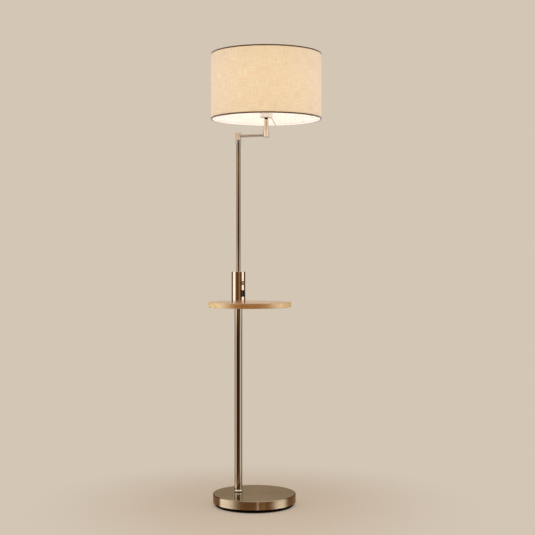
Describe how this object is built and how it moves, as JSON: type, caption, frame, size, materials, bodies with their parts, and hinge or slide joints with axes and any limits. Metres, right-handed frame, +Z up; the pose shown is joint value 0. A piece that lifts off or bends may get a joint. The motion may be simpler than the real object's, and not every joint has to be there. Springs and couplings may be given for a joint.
{
  "type": "floor lamp with side table",
  "caption": "Floor lamp on a round weighted base, with a round side table, a control housing with push button and charging socket, a swing arm and a drum shade.",
  "frame": {"origin": "centre of the round base, on the floor", "axes": "+Z up; +X from the pole towards the centre of the base, along the arm at rest; the button and the charging socket face 30 degrees from +X towards -Y"},
  "size_m": [0.414, 0.4, 1.6328],
  "materials": {
    "foot_pad": "black foamed rubber, matt",
    "black_iron": "black stoved paint, matt",
    "rubber": "black moulded rubber",
    "satin_nickel": "satin brushed nickel plate",
    "polished_nickel": "polished nickel plate",
    "button_metal": "satin nickel plate",
    "zinc_steel": "bright zinc plate",
    "black_steel": "black oxide",
    "cast_aluminium": "turned",
    "brass": "plain",
    "beech": "clear satin lacquer",
    "green_laminate": "solder resist",
    "dark_parts": "moulded",
    "black_plastic": "moulded, fine matt grain",
    "tin_steel": "tin plate",
    "white_nylon": "moulded",
    "lead_jacket": "extruded, satin",
    "white_plastic": "moulded thermoset, satin",
    "porcelain": "unglazed",
    "bulb_metal": "rolled thread, plain",
    "opal": "opal diffuser",
    "white_wire": "white powder coat",
    "linen": "fine linen weave laminated on a white backing",
    "trim": "folded self trim"
  },
  "bodies": {
    "stand": {"base_pad": "foot_pad", "base_weight": "black_iron", "base_cover": "satin_nickel", "cord_bush": "rubber", "base_washer": "zinc_steel", "base_nut": "zinc_steel", "tie_tubes": "brass", "foot_collar": "polished_nickel", "pole_bushes": "zinc_steel", "lower_pole": "satin_nickel", "table_plate": "zinc_steel", "table_screws": "zinc_steel", "table_top": "beech", "housing_base": "cast_aluminium", "housing_shell": "satin_nickel", "housing_lid": "satin_nickel", "housing_screws": "black_steel", "driver_board": "green_laminate", "board_parts": "dark_parts", "switch_body": "dark_parts", "button_bezel": "satin_nickel", "socket_bezel": "black_plastic", "socket_shell": "tin_steel", "socket_tongue": "white_nylon", "upper_pole_bush": "zinc_steel", "upper_pole": "satin_nickel", "stand_lead": "lead_jacket", "pole_socket": "satin_nickel", "pivot_pin": "zinc_steel", "pivot_washers": "white_nylon", "pivot_nut": "zinc_steel"},
    "button": {"button_cap": "button_metal"},
    "arm": {"arm_barrel": "satin_nickel", "arm_rod": "satin_nickel", "head_barrel": "satin_nickel", "arm_caps": "satin_nickel", "stop_pins": "zinc_steel", "arm_lead": "lead_jacket"},
    "head": {"head_pin": "zinc_steel", "head_washers": "white_nylon", "head_nut": "zinc_steel", "stem_foot": "satin_nickel", "stem_tube": "satin_nickel", "stem_cap": "satin_nickel", "head_lead": "lead_jacket", "neck_nipple": "brass", "neck_ring": "black_plastic", "holder_cap": "white_plastic", "contact_block": "porcelain", "holder_contacts": "brass", "screw_shell": "brass", "holder_sleeve": "white_plastic", "bulb_cap": "bulb_metal", "bulb_globe": "opal", "shade_clamp": "white_plastic", "spider": "white_wire", "shade_rings": "white_wire", "shade_skin": "linen", "shade_trims": "trim"}
  },
  "joints": [
    {"name": "button_press", "type": "slide", "parent": "stand", "child": "button", "axis": [-0.866, 0.5, 0], "range_m": [0, 0.0012], "stiffness_N_per_m": 1500, "springref_m": -0.0005},
    {"name": "arm_swivel", "type": "hinge", "parent": "stand", "child": "arm", "pos_m": [-0.062, 0, 1.34], "axis": [0, 0, 1], "range_deg": [-165, 165]},
    {"name": "head_swivel", "type": "hinge", "parent": "arm", "child": "head", "pos_m": [0.046, 0, 1.36], "axis": [0, 0, 1], "range_deg": [-165, 165]}
  ]
}
